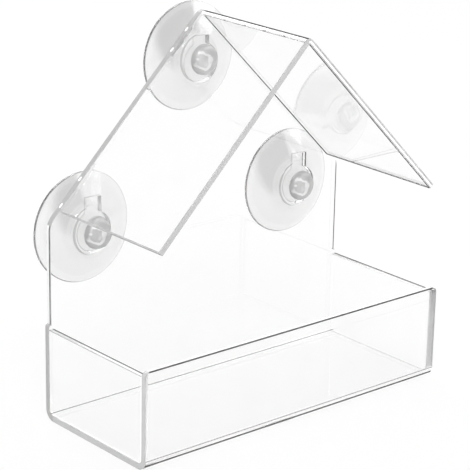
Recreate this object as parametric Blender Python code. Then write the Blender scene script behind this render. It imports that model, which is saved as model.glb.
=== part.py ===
"""A clear window bird feeder in the shape of a small house.

One bent sheet makes the gabled back, the floor and the front wall of the seed tray. Two side panels close
the tray, a folded sheet makes the roof, and three soft suction cups slide in keyholes in the back.

The origin is the middle of the tray's underside. +X is right, +Y is towards the window pane, +Z is up.
All lengths are in metres.
"""
import math

import bmesh
import bpy
from mathutils import Matrix, Vector
from mathutils.geometry import delaunay_2d_cdt

# Sheet stock and fits
sheet_thickness = 0.0025
joint_gap = 0.0003
weld_distance = 0.000001

# Body sheet: tray and gabled back
body_width = 0.1524
tray_depth = 0.0638
front_wall_height = 0.0400
bend_inner_radius = 0.0020
front_corner_radius = 0.0020
gable_inset = 0.0011
shoulder_radius = 0.0080

# Side panels
side_panel_top = 0.0382

# Roof sheet
roof_peak_height = 0.1563
roof_pitch = math.radians(45)
eave_inset = 0.0046
roof_depth = 0.0612
roof_fold_inner_radius = 0.0004

# Keyholes
keyhole_radius = 0.0080
slot_width = 0.0070
side_keyhole_from_edge = 0.0218
side_keyhole_below_shoulder = 0.0077
side_slot_rise = 0.0137
top_keyhole_below_peak = 0.0231
top_slot_rise = 0.0107
top_cup_lift = 0.0015

# Suction cups
cup_radius = 0.0225
cup_height = 0.0073
cup_lip_thickness = 0.0007
cup_rim_width = 0.0012
cup_hollow_depth = 0.0040
cup_seat_radius = 0.0095
cup_flare_power = 0.8
neck_radius = 0.0031
head_radius = 0.0063
head_thickness = 0.0036
head_underside_round = 0.0009
head_face_radius = 0.0039
head_dimple_radius = 0.0026
head_dimple_depth = 0.0006

# The kind of fill that returns all the triangles inside a plate's outline, with the loops that hold each one
triangles_inside = 1

# Smoothness: how many straight steps stand for a curve
steps_per_quarter = 6
fewest_arc_steps = 2
keyhole_steps = 24
cup_segments = 40
cup_flare_steps = 6
cup_hollow_steps = 5
head_dome_steps = 4
smooth_angle = math.radians(35)

# Sizes that follow from the ones above
bend_outer_radius = bend_inner_radius + sheet_thickness
bend_middle_radius = bend_inner_radius + sheet_thickness / 2
bend_length = bend_middle_radius * math.pi / 2
front_face_y = -tray_depth / 2
back_face_y = tray_depth / 2
gable_half_width = body_width / 2 - gable_inset
shoulder_height = roof_peak_height - gable_half_width * math.tan(roof_pitch)
roof_half_span = gable_half_width - eave_inset
side_keyhole_x = gable_half_width - side_keyhole_from_edge
side_keyhole_height = shoulder_height - side_keyhole_below_shoulder
top_keyhole_height = roof_peak_height - top_keyhole_below_peak
roof_fold_outer_radius = roof_fold_inner_radius + sheet_thickness
roof_back_y = back_face_y - sheet_thickness - joint_gap
cup_seat_y = back_face_y + joint_gap
neck_length = sheet_thickness + 2 * joint_gap

# Distances along the flat blank, from the front wall's top edge to where each bend starts and ends
front_bend_start = front_wall_height - bend_outer_radius
front_bend_end = front_bend_start + bend_length
back_bend_start = front_bend_end + tray_depth - 2 * bend_outer_radius
back_bend_end = back_bend_start + bend_length

# Name, keyhole place across, keyhole height, slot rise, and how far the cup sits above the keyhole's middle
cup_places = [
    ("top_suction_cup", 0, top_keyhole_height, top_slot_rise, top_cup_lift),
    ("left_suction_cup", -side_keyhole_x, side_keyhole_height, side_slot_rise, 0),
    ("right_suction_cup", side_keyhole_x, side_keyhole_height, side_slot_rise, 0),
]


def clear_scene():
    """Remove every object that the scene starts with."""
    for obj in list(bpy.data.objects):
        bpy.data.objects.remove(obj, do_unlink=True)


def make_material(name, colour, roughness, transmission, ior):
    """Return a see-through material for one piece."""
    material = bpy.data.materials.new(name)
    material.use_nodes = True
    shader = material.node_tree.nodes["Principled BSDF"]
    shader.inputs["Base Color"].default_value = (*colour, 1)
    shader.inputs["Metallic"].default_value = 0
    shader.inputs["Roughness"].default_value = roughness
    shader.inputs["Transmission Weight"].default_value = transmission
    shader.inputs["IOR"].default_value = ior
    return material


def acrylic(name):
    """Return the hard clear material of the sheets."""
    return make_material(name, colour=(0.96, 0.97, 0.97), roughness=0.03, transmission=0.95, ior=1.49)


def soft_vinyl(name):
    """Return the soft, slightly milky material of the suction cups."""
    return make_material(name, colour=(0.86, 0.87, 0.88), roughness=0.2, transmission=0.8, ior=1.52)


def add_object(name, mesh_builder, material, parent=None):
    """Turn a finished bmesh into a named object with its own material."""
    bmesh.ops.recalc_face_normals(mesh_builder, faces=mesh_builder.faces)
    mesh = bpy.data.meshes.new(name)
    mesh_builder.to_mesh(mesh)
    mesh_builder.free()
    mesh.materials.append(material)
    mesh.shade_smooth()
    mesh.set_sharp_from_angle(angle=smooth_angle)
    obj = bpy.data.objects.new(name, mesh)
    bpy.context.scene.collection.objects.link(obj)
    obj.parent = parent
    return obj


def arc_points(centre, radius, start, end, steps):
    """Return points on a circle from one angle to another, both ends included."""
    angles = [start + (end - start) * step / steps for step in range(steps + 1)]
    return [centre + radius * Vector((math.cos(angle), math.sin(angle))) for angle in angles]


def rounded_outline(corners):
    """Return the points of a closed outline, given corners as (x, y, radius)."""
    points = []
    for index, (x, y, radius) in enumerate(corners):
        corner = Vector((x, y))
        if radius == 0:
            points.append(corner)
            continue
        before = (Vector(corners[index - 1][:2]) - corner).normalized()
        after = (Vector(corners[(index + 1) % len(corners)][:2]) - corner).normalized()
        half_angle = before.angle(after) / 2
        centre = corner + (before + after).normalized() * radius / math.sin(half_angle)
        first = corner + before * radius / math.tan(half_angle) - centre
        turn = first.angle_signed(corner + after * radius / math.tan(half_angle) - centre)
        start = math.atan2(first.y, first.x)
        steps = max(fewest_arc_steps, round(steps_per_quarter * abs(turn) / (math.pi / 2)))
        points += arc_points(centre, radius, start, start - turn, steps)
    return points


def make_plate(outline, holes, thickness):
    """Return a flat plate cut to an outline with holes, rising from the XY plane along +Z.

    Every loop runs anticlockwise. A triangle that lies in the outline and in no hole has one owner.
    """
    points = []
    loops = []
    for loop in [outline, *holes]:
        loops.append(list(range(len(points), len(points) + len(loop))))
        points += loop
    corners, _, triangles, _, _, owners = delaunay_2d_cdt(points, [], loops, triangles_inside, weld_distance)
    plate = bmesh.new()
    verts = [plate.verts.new((corner.x, corner.y, 0)) for corner in corners]
    for triangle, owner in zip(triangles, owners):
        if len(owner) == 1:
            plate.faces.new([verts[index] for index in triangle])
    bmesh.ops.delete(plate, geom=[vert for vert in plate.verts if not vert.link_faces], context="VERTS")
    raised = bmesh.ops.extrude_face_region(plate, geom=plate.faces[:])["geom"]
    raised_verts = [item for item in raised if isinstance(item, bmesh.types.BMVert)]
    bmesh.ops.translate(plate, verts=raised_verts, vec=(0, 0, thickness))
    return plate


def blank_place(height):
    """Return how far along the blank a height on the back lies."""
    return back_bend_end + height - bend_outer_radius


def body_outline():
    """Return the outline of the flat blank: across, and along from the front wall's top edge."""
    right_half = [
        (body_width / 2, 0, front_corner_radius),
        (body_width / 2, blank_place(front_wall_height), gable_inset),
        (gable_half_width, blank_place(front_wall_height), 0),
        (gable_half_width, blank_place(shoulder_height), shoulder_radius),
    ]
    peak = (0, blank_place(roof_peak_height), roof_fold_outer_radius)
    left_half = [(-across, along, radius) for across, along, radius in reversed(right_half)]
    return rounded_outline(right_half + [peak] + left_half)


def keyhole_outline(across, height, slot_rise):
    """Return the outline of one keyhole: a round hole with a square-ended slot above it."""
    middle = Vector((across, blank_place(height)))
    slot_angle = math.asin(slot_width / 2 / keyhole_radius)
    start = math.pi / 2 + slot_angle
    end = math.pi / 2 - slot_angle + 2 * math.pi
    round_part = arc_points(middle, keyhole_radius, start, end, keyhole_steps)
    slot_top = [Vector((slot_width / 2, slot_rise)), Vector((-slot_width / 2, slot_rise))]
    return round_part + [middle + corner for corner in slot_top]


def bent_point(blank_point):
    """Return where a point of the flat blank lies once the sheet is bent into the body."""
    across, along, inward = blank_point
    radius = bend_outer_radius - inward
    if along <= front_bend_start:
        return Vector((across, front_face_y + inward, front_wall_height - along))
    if along <= front_bend_end:
        angle = (along - front_bend_start) / bend_middle_radius
        y = front_face_y + bend_outer_radius - radius * math.cos(angle)
        return Vector((across, y, bend_outer_radius - radius * math.sin(angle)))
    if along <= back_bend_start:
        return Vector((across, front_face_y + bend_outer_radius + along - front_bend_end, inward))
    if along <= back_bend_end:
        angle = (along - back_bend_start) / bend_middle_radius
        y = back_face_y - bend_outer_radius + radius * math.sin(angle)
        return Vector((across, y, bend_outer_radius - radius * math.cos(angle)))
    return Vector((across, back_face_y - inward, bend_outer_radius + along - back_bend_end))


def build_body_sheet():
    """Cut the blank, mark the bend lines across it and bend it."""
    holes = [keyhole_outline(across, height, rise) for _, across, height, rise, _ in cup_places]
    sheet = make_plate(body_outline(), holes, sheet_thickness)
    for start in (front_bend_start, back_bend_start):
        for step in range(steps_per_quarter + 1):
            along = start + bend_length * step / steps_per_quarter
            everything = sheet.verts[:] + sheet.edges[:] + sheet.faces[:]
            bmesh.ops.bisect_plane(
                sheet, geom=everything, dist=weld_distance, plane_co=(0, along, 0), plane_no=(0, 1, 0)
            )
    for vert in sheet.verts:
        vert.co = bent_point(vert.co)
    return add_object("body_sheet", sheet, acrylic("body_sheet"))


def build_side_panel(name, inner_face_x, parent):
    """Make one side panel, which stands on the floor between the front and back walls."""
    half_depth = tray_depth / 2 - sheet_thickness - joint_gap
    floor = sheet_thickness + joint_gap
    corner = bend_inner_radius - joint_gap
    outline = rounded_outline([
        (-half_depth, floor, corner),
        (half_depth, floor, corner),
        (half_depth, side_panel_top, 0),
        (-half_depth, side_panel_top, 0),
    ])
    panel = make_plate(outline, [], sheet_thickness)
    upright = Matrix(((0, 0, 1, inner_face_x), (1, 0, 0, 0), (0, 1, 0, 0), (0, 0, 0, 1)))
    bmesh.ops.transform(panel, matrix=upright, verts=panel.verts)
    return add_object(name, panel, acrylic(name), parent)


def build_roof_sheet(parent):
    """Make the folded roof, whose outer faces lie flush with the gable's sloping edges."""
    slope = Vector((math.cos(roof_pitch), -math.sin(roof_pitch)))
    inward = Vector((-math.sin(roof_pitch), -math.cos(roof_pitch)))
    peak = Vector((0, roof_peak_height))
    outer_eave = peak + slope * roof_half_span / math.cos(roof_pitch)
    inner_eave = outer_eave + inward * sheet_thickness
    inner_peak = peak - Vector((0, sheet_thickness / math.cos(roof_pitch)))
    outline = rounded_outline([
        (*peak, roof_fold_outer_radius),
        (-outer_eave.x, outer_eave.y, 0),
        (-inner_eave.x, inner_eave.y, 0),
        (*inner_peak, roof_fold_inner_radius),
        (*inner_eave, 0),
        (*outer_eave, 0),
    ])
    roof = make_plate(outline, [], roof_depth)
    forward = Matrix(((1, 0, 0, 0), (0, 0, -1, roof_back_y), (0, 1, 0, 0), (0, 0, 0, 1)))
    bmesh.ops.transform(roof, matrix=forward, verts=roof.verts)
    return add_object("roof_sheet", roof, acrylic("roof_sheet"), parent)


def head_profile():
    """Return the mushroom head's turned profile as (radius, distance towards the window)."""
    face = -neck_length - head_thickness
    widest = -neck_length - head_underside_round
    profile = [
        Vector((0, face + head_dimple_depth)),
        Vector((head_dimple_radius, face + head_dimple_depth / 2)),
    ]
    for step in range(head_dome_steps + 1):
        angle = math.pi / 2 * step / head_dome_steps
        radius = head_face_radius + (head_radius - head_face_radius) * math.sin(angle)
        profile.append(Vector((radius, widest + (face - widest) * math.cos(angle))))
    profile.append(Vector((head_radius - head_underside_round, -neck_length)))
    profile.append(Vector((neck_radius, -neck_length)))
    return profile


def cup_profile():
    """Return the flared cup's turned profile, from the neck out to the lip and back to the middle."""
    profile = [Vector((neck_radius, 0))]
    for step in range(cup_flare_steps + 1):
        share = step / cup_flare_steps
        radius = cup_seat_radius + (cup_radius - cup_seat_radius) * share
        rise = (cup_height - cup_lip_thickness) * share ** cup_flare_power
        profile.append(Vector((radius, rise)))
    profile.append(Vector((cup_radius, cup_height)))
    hollow_radius = cup_radius - cup_rim_width
    for step in range(cup_hollow_steps + 1):
        share = 1 - step / cup_hollow_steps
        depth = cup_hollow_depth * (1 - share ** 2)
        profile.append(Vector((hollow_radius * share, cup_height - depth)))
    return profile


def turn_profile(profile):
    """Spin a profile, which starts and ends on the axis, once around the Z axis."""
    turned = bmesh.new()
    rings = []
    for radius, rise in profile[1:-1]:
        angles = [2 * math.pi * step / cup_segments for step in range(cup_segments)]
        rings.append([turned.verts.new((radius * math.cos(a), radius * math.sin(a), rise)) for a in angles])
    for ring, next_ring in zip(rings, rings[1:]):
        for index in range(cup_segments):
            turned.faces.new((ring[index - 1], ring[index], next_ring[index], next_ring[index - 1]))
    for pole, ring in ((profile[0], rings[0]), (profile[-1], rings[-1])):
        centre = turned.verts.new((0, 0, pole.y))
        for index in range(cup_segments):
            turned.faces.new((ring[index - 1], ring[index], centre))
    return turned


def build_suction_cup(name, across, height, parent):
    """Make one suction cup, its neck through the keyhole and its hollow side to the window."""
    cup = add_object(name, turn_profile(head_profile() + cup_profile()), soft_vinyl(name), parent)
    cup.location = (across, cup_seat_y, height)
    cup.rotation_euler = (-math.pi / 2, 0, 0)
    return cup


def main():
    """Build the whole feeder."""
    clear_scene()
    body = build_body_sheet()
    build_side_panel("left_side_panel", -body_width / 2, body)
    build_side_panel("right_side_panel", body_width / 2 - sheet_thickness, body)
    build_roof_sheet(body)
    for name, across, height, _, lift in cup_places:
        build_suction_cup(name, across, height + lift, body)


main()
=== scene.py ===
"""Studio picture of a clear window bird feeder in the shape of a small house.

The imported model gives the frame. This script builds the finished sheets and suction cups around it,
dresses them in clear acrylic and soft vinyl, and sets up a white studio with a camera at the
photograph's angle.

All lengths are in metres. +X is right, +Y is towards the window pane, +Z is up.
"""
import logging
import math
from abc import ABC, abstractmethod
from collections.abc import Callable, Sequence
from dataclasses import dataclass, field
from enum import Enum, IntEnum
from functools import partial
from typing import Any, ClassVar, NamedTuple

import bmesh
import bpy
from mathutils import Matrix, Vector
from mathutils.geometry import delaunay_2d_cdt


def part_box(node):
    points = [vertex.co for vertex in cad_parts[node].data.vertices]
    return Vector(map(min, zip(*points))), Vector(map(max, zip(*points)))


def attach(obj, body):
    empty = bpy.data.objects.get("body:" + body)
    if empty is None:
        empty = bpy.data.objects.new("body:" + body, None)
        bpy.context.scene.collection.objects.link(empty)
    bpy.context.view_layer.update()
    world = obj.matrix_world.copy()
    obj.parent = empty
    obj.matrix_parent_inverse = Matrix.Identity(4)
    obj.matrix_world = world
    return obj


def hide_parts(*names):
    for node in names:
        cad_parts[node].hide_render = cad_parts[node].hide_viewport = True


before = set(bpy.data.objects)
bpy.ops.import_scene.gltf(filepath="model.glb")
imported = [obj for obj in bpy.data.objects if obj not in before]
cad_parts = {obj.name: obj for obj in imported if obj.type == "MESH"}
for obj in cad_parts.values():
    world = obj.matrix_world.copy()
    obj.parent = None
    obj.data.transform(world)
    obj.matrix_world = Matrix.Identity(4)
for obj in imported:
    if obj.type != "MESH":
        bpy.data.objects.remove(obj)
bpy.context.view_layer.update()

log = logging.getLogger("feeder")

WELD_DISTANCE = 0.000001
QUARTER_TURN = math.pi / 2
FULL_TURN = 2 * math.pi
FEWEST_ARC_STEPS = 2
LEANING = 0.5
KEYHOLE_SPACING = 0.0533
SURFACE_LAYER = "surface"
WHITE = (1.0, 1.0, 1.0, 1.0)
NOISE_MIDDLE = (0.5, 0.5, 0.5)
OFF_THE_AXIS = (1, 0, 1)

Triple = tuple[float, float, float]


class Surface(IntEnum):
    """The kinds of surface that a cut sheet has, as the numbers of its material slots."""

    FACE = 0
    CUT_EDGE = 1
    NICKED_EDGE = 2
    PALE_EDGE = 3
    ARRIS = 4
    DARK_LINE = 5
    OUTLINE = 6
    SATIN_EDGE = 7
    CEMENT = 8
    LIT_EDGE = 9
    DULL_EDGE = 10


class EdgeWork(Enum):
    """How a stretch of edge is worked: outer arris, outer strip, flat, inner strip and inner arris.

    Sawn, nicked and satin edges are grey, and flamed and lit ones are pale. Clear ones show what lies
    behind them, and cemented ones don't show.
    """

    SAWN = (Surface.ARRIS, Surface.CUT_EDGE, Surface.CUT_EDGE, Surface.CUT_EDGE, Surface.ARRIS)
    SAWN_SHARP = (Surface.ARRIS, Surface.ARRIS, Surface.CUT_EDGE, Surface.DARK_LINE, Surface.DARK_LINE)
    SAWN_DULL = (Surface.ARRIS, Surface.DULL_EDGE, Surface.DULL_EDGE, Surface.DULL_EDGE, Surface.ARRIS)
    NICKED = (Surface.ARRIS, Surface.NICKED_EDGE, Surface.NICKED_EDGE, Surface.NICKED_EDGE, Surface.ARRIS)
    SATIN = (Surface.SATIN_EDGE,) * 5
    SATIN_LINED = (Surface.ARRIS,) + (Surface.SATIN_EDGE,) * 4
    FLAMED = (Surface.ARRIS, Surface.PALE_EDGE, Surface.PALE_EDGE, Surface.PALE_EDGE, Surface.ARRIS)
    FLAMED_FINE_LINE = (Surface.PALE_EDGE,) * 3 + (Surface.DARK_LINE, Surface.ARRIS)
    FLAMED_DARK_OUTSIDE = (Surface.DARK_LINE, Surface.DARK_LINE) + (Surface.PALE_EDGE,) * 3
    FLAMED_DARK_INSIDE = (Surface.ARRIS,) + (Surface.PALE_EDGE,) * 2 + (Surface.DARK_LINE, Surface.DARK_LINE)
    FLAMED_GREY_OUTSIDE = (Surface.ARRIS, Surface.ARRIS, Surface.PALE_EDGE, Surface.ARRIS, Surface.DARK_LINE)
    FLAMED_GREY_FLAT = (Surface.PALE_EDGE,) * 2 + (Surface.ARRIS,) + (Surface.DARK_LINE,) * 2
    OUTLINED_OUTSIDE = (Surface.ARRIS,) + (Surface.CEMENT,) * 4
    CEMENTED = (Surface.CEMENT,) * 5
    CLEAR = (Surface.FACE,) * 5
    LIT = (Surface.LIT_EDGE,) * 5
    CLEAR_SHARP = (Surface.DARK_LINE,) + (Surface.FACE,) * 3 + (Surface.DARK_LINE,)
    CLEAR_OUTLINED = (Surface.DARK_LINE, Surface.ARRIS, Surface.FACE, Surface.ARRIS, Surface.DARK_LINE)


EdgeChoice = Callable[[Vector, Vector], EdgeWork]


class SheetSide(Enum):
    """The two faces of a sheet, as seen from a bend."""

    OUTER = "outer"
    INNER = "inner"


class Slot(Enum):
    """The record's material slots."""

    ACRYLIC = "clear_acrylic"
    VINYL = "soft_clear_vinyl"


class Side(IntEnum):
    """The two ends of the tray, as the sign of X."""

    LEFT = -1
    RIGHT = 1


@dataclass(frozen=True)
class Socket:
    """One output of a node, which Python's arithmetic turns into Math nodes."""

    tree: "Tree"
    link: bpy.types.NodeSocket

    def math(self, operation: str, *values: "Socket | float") -> "Socket":
        """Return a Math node's result.

        Args:
            operation: The Math node's operation.
            values: What goes into the node, in order.

        Returns:
            The node's output.
        """
        node = self.tree.node("ShaderNodeMath", {"operation": operation}, dict(enumerate(values)))
        return Socket(self.tree, node.outputs[0])

    def __add__(self, other: "Socket | float") -> "Socket":
        """Return the sum."""
        return self.math("ADD", self, other)

    def __radd__(self, other: float) -> "Socket":
        """Return the sum, with the number first."""
        return self.math("ADD", other, self)

    def __sub__(self, other: "Socket | float") -> "Socket":
        """Return the difference."""
        return self.math("SUBTRACT", self, other)

    def __rsub__(self, other: float) -> "Socket":
        """Return a number less this value."""
        return self.math("SUBTRACT", other, self)

    def __mul__(self, other: "Socket | float") -> "Socket":
        """Return the product."""
        return self.math("MULTIPLY", self, other)

    def __rmul__(self, other: float) -> "Socket":
        """Return the product, with the number first."""
        return self.math("MULTIPLY", other, self)

    def __truediv__(self, other: "Socket | float") -> "Socket":
        """Return the quotient."""
        return self.math("DIVIDE", self, other)

    def __rtruediv__(self, other: float) -> "Socket":
        """Return a number over this value."""
        return self.math("DIVIDE", other, self)

    def at_least(self, low: "Socket | float") -> "Socket":
        """Return the larger of the two."""
        return self.math("MAXIMUM", self, low)

    def at_most(self, high: "Socket | float") -> "Socket":
        """Return the smaller of the two."""
        return self.math("MINIMUM", self, high)

    def sine(self) -> "Socket":
        """Return the sine of an angle in radians."""
        return self.math("SINE", self)

    def cosine(self) -> "Socket":
        """Return the cosine of an angle in radians."""
        return self.math("COSINE", self)

    def size(self) -> "Socket":
        """Return the value without its sign."""
        return self.math("ABSOLUTE", self)

    def floor(self) -> "Socket":
        """Return the whole number at or below the value."""
        return self.math("FLOOR", self)

    def power(self, exponent: float) -> "Socket":
        """Return the value raised to a power."""
        return self.math("POWER", self, exponent)

    def angle_from(self, upright: "Socket") -> "Socket":
        """Return the angle in radians of this value off another that stands upright."""
        return self.math("ARCTAN2", self, upright)

    def ramp(self, low: float, high: float, start: float = 0, end: float = 1) -> "Socket":
        """Return this value read off a smooth slope.

        Args:
            low: Where the slope starts.
            high: Where the slope ends.
            start: The result up to low.
            end: The result from high on.

        Returns:
            The result in between, eased at both ends.
        """
        settings = {"interpolation_type": "SMOOTHSTEP"}
        sockets = {"Value": self, "From Min": low, "From Max": high, "To Min": start, "To Max": end}
        return self.tree.output("ShaderNodeMapRange", settings, sockets)


class Tree:
    """A shader or geometry node tree under construction."""

    # A Mix node's colour sockets share their names with its other sockets, so they go by number.
    MIX_COLOURS = (6, 7)
    MIXED_COLOUR = 2

    def __init__(self, tree: bpy.types.NodeTree) -> None:
        """Start on a tree.

        Args:
            tree: The tree, whose nodes this object adds to.
        """
        self.tree = tree

    @classmethod
    def of(cls, owner: bpy.types.Material | bpy.types.World) -> "Tree":
        """Start on the shader tree of a material or a world.

        Args:
            owner: The material or the world.

        Returns:
            Its tree, with no nodes.
        """
        owner.use_nodes = True
        owner.node_tree.nodes.clear()
        return cls(owner.node_tree)

    def node(
        self,
        kind: str,
        settings: dict[str, Any] | None = None,
        sockets: dict[str | int, Any] | None = None,
    ) -> bpy.types.Node:
        """Add one node.

        Args:
            kind: The node's type.
            settings: The node's own settings, which are set first. "stops" are a colour ramp's stops.
            sockets: A value or a Socket for each input, by name or number.

        Returns:
            The new node.
        """
        made = self.tree.nodes.new(kind)
        for name, value in (settings or {}).items():
            if name == "stops":
                self._set_stops(made.color_ramp, value)
            else:
                setattr(made, name, value)
        for key, value in (sockets or {}).items():
            if isinstance(value, Socket):
                self.tree.links.new(value.link, made.inputs[key])
            else:
                made.inputs[key].default_value = value
        return made

    def output(
        self,
        kind: str,
        settings: dict[str, Any] | None = None,
        sockets: dict[str | int, Any] | None = None,
        name: str | int = 0,
    ) -> Socket:
        """Add one node and return one of its outputs.

        Args:
            kind: The node's type.
            settings: As in node().
            sockets: As in node().
            name: The output's name or number.

        Returns:
            The output.
        """
        return Socket(self, self.node(kind, settings, sockets).outputs[name])

    def mix(self, factor: Socket | float, first: Any, second: Any) -> Socket:
        """Return a colour between two colours.

        Args:
            factor: 0 for the first colour and 1 for the second.
            first: A colour or a Socket.
            second: A colour or a Socket.

        Returns:
            The mixed colour.
        """
        sockets = {0: factor, **dict(zip(self.MIX_COLOURS, (first, second)))}
        return self.output("ShaderNodeMix", {"data_type": "RGBA"}, sockets, self.MIXED_COLOUR)

    def blend(self, share: Socket | float, first: Socket, second: Socket) -> Socket:
        """Return a shader between two shaders.

        Args:
            share: 0 for the first shader and 1 for the second.
            first: A shader.
            second: A shader.

        Returns:
            The mixed shader.
        """
        return self.output("ShaderNodeMixShader", None, dict(enumerate((share, first, second))))

    def principled(self, sockets: dict[str, Any]) -> Socket:
        """Return a Principled shader with the values and links of its sockets."""
        return self.output("ShaderNodeBsdfPrincipled", None, sockets)

    def vector(self, operation: str, *values: Any, name: str | int = 0) -> Socket:
        """Return a Vector Math node's result.

        Args:
            operation: The Vector Math node's operation.
            values: A vector or a Socket for each input, in order.
            name: The output's name or number.

        Returns:
            The output.
        """
        settings = {"operation": operation}
        return self.output("ShaderNodeVectorMath", settings, dict(enumerate(values)), name)

    def split(self, vector: Socket) -> tuple[Socket, ...]:
        """Return a vector's X, Y and Z."""
        node = self.node("ShaderNodeSeparateXYZ", None, {0: vector})
        return tuple(Socket(self, node.outputs[axis]) for axis in "XYZ")

    def noise(self, place: Socket, scale: float, detail: float) -> Socket:
        """Return a noise value from 0 to 1 at a place.

        Args:
            place: The coordinates.
            scale: How many grains there are to a metre.
            detail: How many finer layers are added.

        Returns:
            The noise.
        """
        sockets = {"Vector": place, "Scale": scale, "Detail": detail}
        return self.output("ShaderNodeTexNoise", None, sockets)

    @staticmethod
    def _set_stops(ramp: bpy.types.ColorRamp, stops: Sequence[tuple[float, tuple]]) -> None:
        """Give a colour ramp its stops.

        Args:
            ramp: The ramp.
            stops: The position and the colour of each stop.
        """
        while len(ramp.elements) < len(stops):
            ramp.elements.new(1)
        for element, (position, colour) in zip(ramp.elements, stops):
            element.position = position
            element.color = colour


def grey(value: float) -> tuple[float, float, float, float]:
    """Return a neutral colour."""
    return (value, value, value, 1)


class Finish(ABC):
    """A material made of Principled shaders and what varies on them."""

    name: str

    @abstractmethod
    def surface(self, tree: Tree, place: Socket) -> Socket:
        """Return the shader that covers the piece, which each finish makes in its own way."""

    def build(self) -> bpy.types.Material:
        """Make the material.

        Returns:
            The material.
        """
        material = bpy.data.materials.new(self.name)
        tree = Tree.of(material)
        place = tree.output("ShaderNodeTexCoord", name="Object")
        tree.node("ShaderNodeOutputMaterial", None, {"Surface": self.surface(tree, place)})
        return material


@dataclass(frozen=True)
class ClearAcrylic(Finish):
    """Clear polished sheet: a faint waviness and a trace of handling haze."""

    name: str = "clear_acrylic_face"
    tint: float = 0.995
    haze_tint: float = 0.985
    roughness: float = 0.0
    haze_roughness: float = 0.035
    ior: float = 1.49
    wave_scale: float = 22
    wave_detail: float = 1
    haze_scale: float = 60
    haze_detail: float = 4
    haze_low: float = 0.5
    haze_high: float = 0.75
    wave_height: float = 0.00002

    def surface(self, tree: Tree, place: Socket) -> Socket:
        """Return the shader that covers the piece.

        Args:
            tree: The material's tree.
            place: The piece's Object coordinates.

        Returns:
            The shader.
        """
        haze = tree.noise(place, self.haze_scale, self.haze_detail).ramp(self.haze_low, self.haze_high)
        wave = tree.noise(place, self.wave_scale, self.wave_detail)
        ripple = {"Strength": 1, "Distance": self.wave_height, "Height": wave}
        return tree.principled({
            "Base Color": tree.mix(haze, grey(self.tint), grey(self.haze_tint)),
            "Roughness": self.roughness + haze * (self.haze_roughness - self.roughness),
            "IOR": self.ior,
            "Transmission Weight": 1,
            "Normal": tree.output("ShaderNodeBump", None, ripple),
        })


@dataclass(frozen=True)
class CutEdge(Finish):
    """The cut edges: satin, with fine streaks and, on the gable, a few bright nicks."""

    name: str = "clear_acrylic_cut_edge"
    tint: float = 0.61
    streak_tint: float = 0.50
    streak_share: float = 0.25
    roughness: float = 0.25
    streak_roughness: float = 0.35
    glow: float = 0
    ior: float = 1.49
    streak_scale: float = 900
    streak_detail: float = 2
    streak_depth: float = 0.00001
    blotch_scale: float = 45
    blotch_detail: float = 3
    bump_strength: float = 0.15
    blotch_low: float = 0.4
    blotch_high: float = 0.7
    nicks: tuple[Triple, ...] = ()
    nick_core: float = 0.0002
    nick_radius: float = 0.0006
    nick_half_length: float = 0.0006
    nick_direction: Triple = (math.sqrt(0.5), 0, math.sqrt(0.5))
    nick_light: float = 0.5

    def surface(self, tree: Tree, place: Socket) -> Socket:
        """Return the shader that covers the piece.

        Args:
            tree: The material's tree.
            place: The piece's Object coordinates.

        Returns:
            The shader.
        """
        streak = tree.noise(place, self.streak_scale, self.streak_detail)
        blotch = tree.noise(place, self.blotch_scale, self.blotch_detail)
        worn = self.streak_share * blotch.ramp(self.blotch_low, self.blotch_high)
        streaked = tree.mix(worn, grey(self.tint), grey(self.streak_tint))
        bump = {"Strength": self.bump_strength, "Distance": self.streak_depth, "Height": streak}
        surface = tree.principled({
            "Base Color": streaked,
            "Roughness": self.roughness + worn * (self.streak_roughness - self.roughness),
            "IOR": self.ior,
            "Emission Color": WHITE,
            "Emission Strength": self.glow,
            "Normal": tree.output("ShaderNodeBump", None, bump),
        })
        return self._with_nicks(tree, place, surface) if self.nicks else surface

    def _with_nicks(self, tree: Tree, place: Socket, surface: Socket) -> Socket:
        """Return a surface with a few small bright nicks in it.

        Args:
            tree: The material's tree.
            place: The piece's Object coordinates.
            surface: The shader around the nicks.

        Returns:
            The shader with them.
        """
        share: Socket | float = 0
        for centre in self.nicks:
            offset = tree.vector("SUBTRACT", place, centre)
            along = tree.vector("DOT_PRODUCT", offset, self.nick_direction, name="Value")
            held = along.at_least(-self.nick_half_length).at_most(self.nick_half_length)
            sockets = {0: self.nick_direction, "Scale": held}
            nearest = tree.output("ShaderNodeVectorMath", {"operation": "SCALE"}, sockets)
            apart = tree.vector("DISTANCE", offset, nearest, name="Value")
            share = apart.ramp(self.nick_core, self.nick_radius, 1, 0).at_least(share)
        bright = tree.principled({
            "Base Color": WHITE,
            "Emission Color": WHITE,
            "Emission Strength": self.nick_light,
        })
        return tree.blend(share, surface, bright)


@dataclass(frozen=True)
class Arris(Finish):
    """A narrow line that gathers the studio's dark side: an eased edge, or the shadow line of a bend."""

    name: str = "clear_acrylic_arris"
    light: float = 0.54
    dark: float = 0.42
    clear_inside: bool = False
    specular: float = 0.5
    roughness: float = 0.15
    transmission: float = 0.12
    ior: float = 1.49
    blotch_scale: float = 160
    blotch_detail: float = 3
    blotch_low: float = 0.35
    blotch_high: float = 0.65

    def surface(self, tree: Tree, place: Socket) -> Socket:
        """Return the shader that covers the piece.

        Args:
            tree: The material's tree.
            place: The piece's Object coordinates.

        Returns:
            The shader.
        """
        blotch = tree.noise(place, self.blotch_scale, self.blotch_detail)
        blotch = blotch.ramp(self.blotch_low, self.blotch_high)
        surface = tree.principled({
            "Base Color": tree.mix(blotch, grey(self.light), grey(self.dark)),
            "Roughness": self.roughness + blotch * self.roughness,
            "IOR": self.ior,
            "Specular IOR Level": self.specular,
            "Transmission Weight": self.transmission,
        })
        if not self.clear_inside:
            return surface
        inwards = tree.output("ShaderNodeNewGeometry", name="Backfacing")
        clear = tree.principled({"Roughness": 0, "IOR": self.ior, "Transmission Weight": 1})
        return tree.blend(inwards, surface, clear)


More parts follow.
